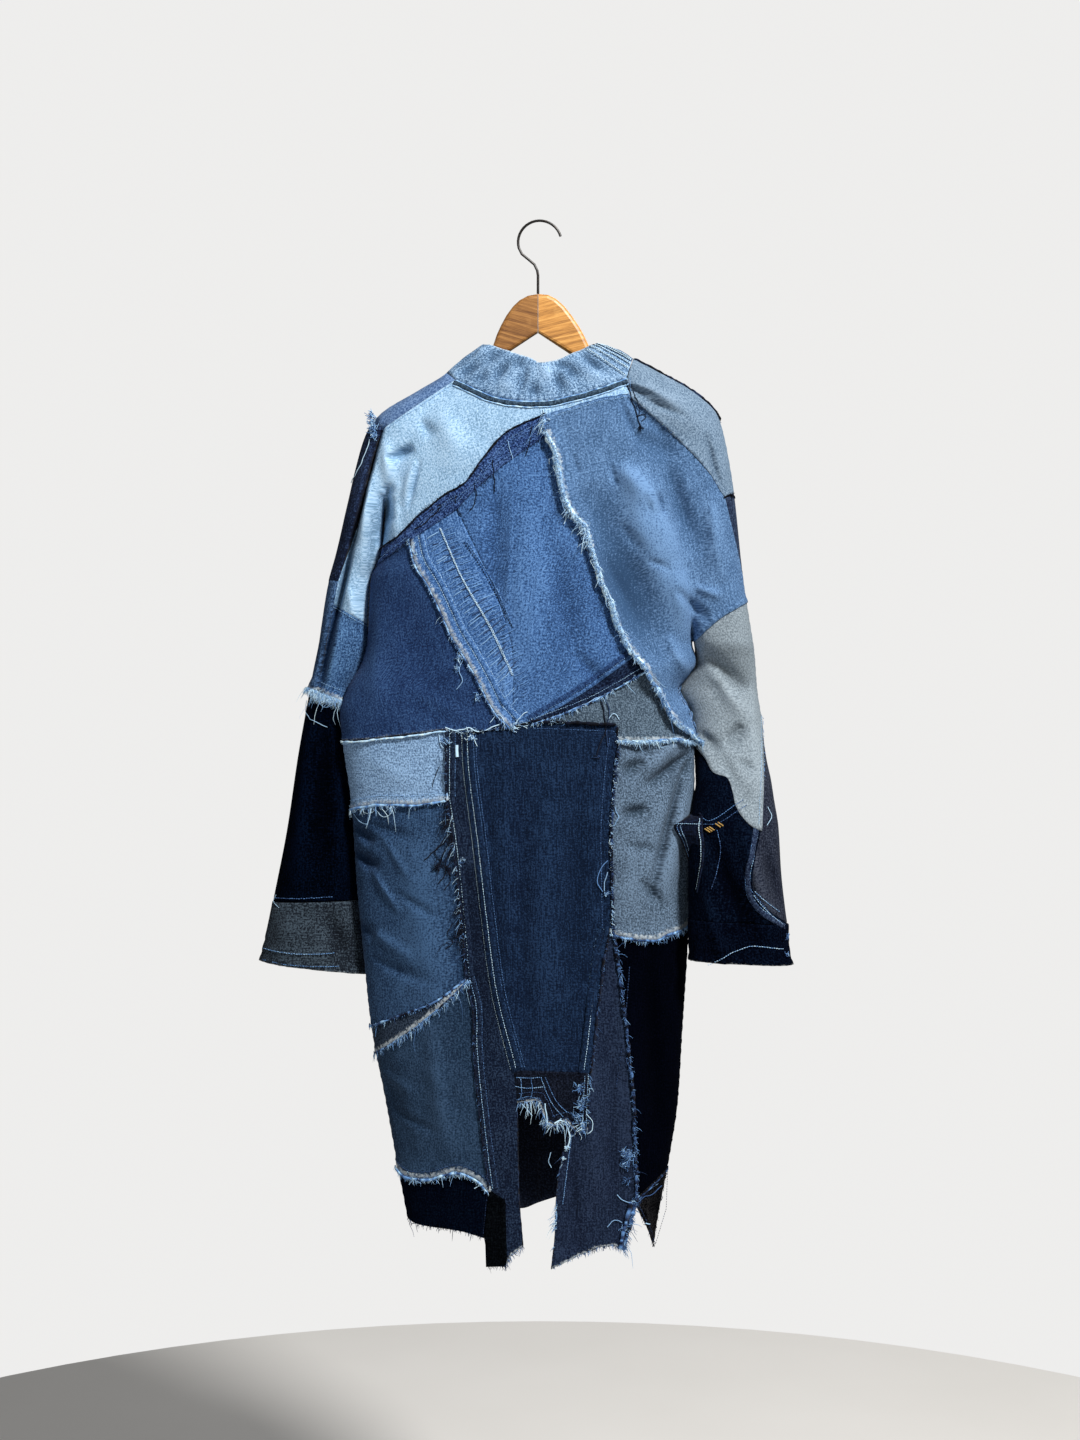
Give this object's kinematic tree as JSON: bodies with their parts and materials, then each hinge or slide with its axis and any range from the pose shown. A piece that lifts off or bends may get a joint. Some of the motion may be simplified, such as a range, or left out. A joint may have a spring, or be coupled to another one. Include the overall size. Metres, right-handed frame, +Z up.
{
  "type": "patched denim jacket on a wooden hanger",
  "caption": "Coat-length boro jacket of patched denim with frayed seams, hanging open-necked and hollow on a wooden hanger with a steel hook.",
  "frame": {"origin": "inner top of the hanger's hook, where a rod or nail bears", "axes": "+Z up, the back of the jacket faces -Y, its front +Y, +X to the viewer's right when looking at the back"},
  "size_m": [0.6328, 0.1246, 1.248],
  "materials": {
    "yoke_left": "worn denim, matt",
    "waistband_strip": "worn denim, matt",
    "centre_upper": "worn denim, matt",
    "ladder_strip": "worn denim, matt",
    "indigo_left": "worn denim, matt",
    "centre_seam_strip": "worn denim, matt",
    "upper_right": "worn denim, matt",
    "shoulder_right": "worn denim, matt",
    "waist_chambray": "worn denim, matt",
    "waist_patch": "worn denim, matt",
    "skirt_left": "worn denim, matt",
    "wedge_strip": "worn denim, matt",
    "skirt_left_low": "worn denim, matt",
    "hem_left": "worn denim, matt",
    "hem_tab": "worn denim, matt",
    "side_strip": "worn denim, matt",
    "centre_lower": "worn denim, matt",
    "pocket_band": "worn denim, matt",
    "chambray_right": "worn denim, matt",
    "lower_right": "worn denim, matt",
    "black_right": "worn denim, matt",
    "black_tip": "worn denim, matt",
    "sleeve_left_mid": "worn denim, matt",
    "grey_sleeve": "worn denim, matt",
    "sleeve_right_dark": "worn denim, matt",
    "sleeve_left_front": "worn denim, matt",
    "sleeve_left_front_mid": "worn denim, matt",
    "sleeve_right_front": "worn denim, matt",
    "sleeve_right_front_low": "worn denim, matt",
    "front_left": "worn denim, matt",
    "front_right": "worn denim, matt",
    "sleeve_left_low": "worn denim, matt",
    "cuff_left": "worn denim, matt",
    "cuff_right": "worn denim, matt",
    "collar_band": "worn denim, matt",
    "collar_right": "worn denim, matt",
    "hanger_wood": "clear satin varnish",
    "hook_steel": "dark drawn wire"
  },
  "bodies": {
    "root": {"yoke_left": "yoke_left", "waistband_strip": "waistband_strip", "centre_upper": "centre_upper", "ladder_strip": "ladder_strip", "indigo_left": "indigo_left", "centre_seam_strip": "centre_seam_strip", "upper_right": "upper_right", "shoulder_right": "shoulder_right", "waist_chambray": "waist_chambray", "waist_patch": "waist_patch", "skirt_left": "skirt_left", "wedge_strip": "wedge_strip", "skirt_left_low": "skirt_left_low", "hem_left": "hem_left", "hem_tab": "hem_tab", "side_strip": "side_strip", "centre_lower": "centre_lower", "pocket_band": "pocket_band", "chambray_right": "chambray_right", "lower_right": "lower_right", "black_right": "black_right", "black_tip": "black_tip", "sleeve_left_mid": "sleeve_left_mid", "grey_sleeve": "grey_sleeve", "sleeve_right_dark": "sleeve_right_dark", "sleeve_left_front": "sleeve_left_front", "sleeve_left_front_mid": "sleeve_left_front_mid", "sleeve_right_front": "sleeve_right_front", "sleeve_right_front_low": "sleeve_right_front_low", "front_left": "front_left", "front_right": "front_right", "sleeve_left_low": "sleeve_left_low", "cuff_left": "cuff_left", "cuff_right": "cuff_right", "collar_band": "collar_band", "collar_right": "collar_right", "hanger_arm_left": "hanger_wood", "hanger_arm_right": "hanger_wood", "hook": "hook_steel"}
  },
  "joints": []
}
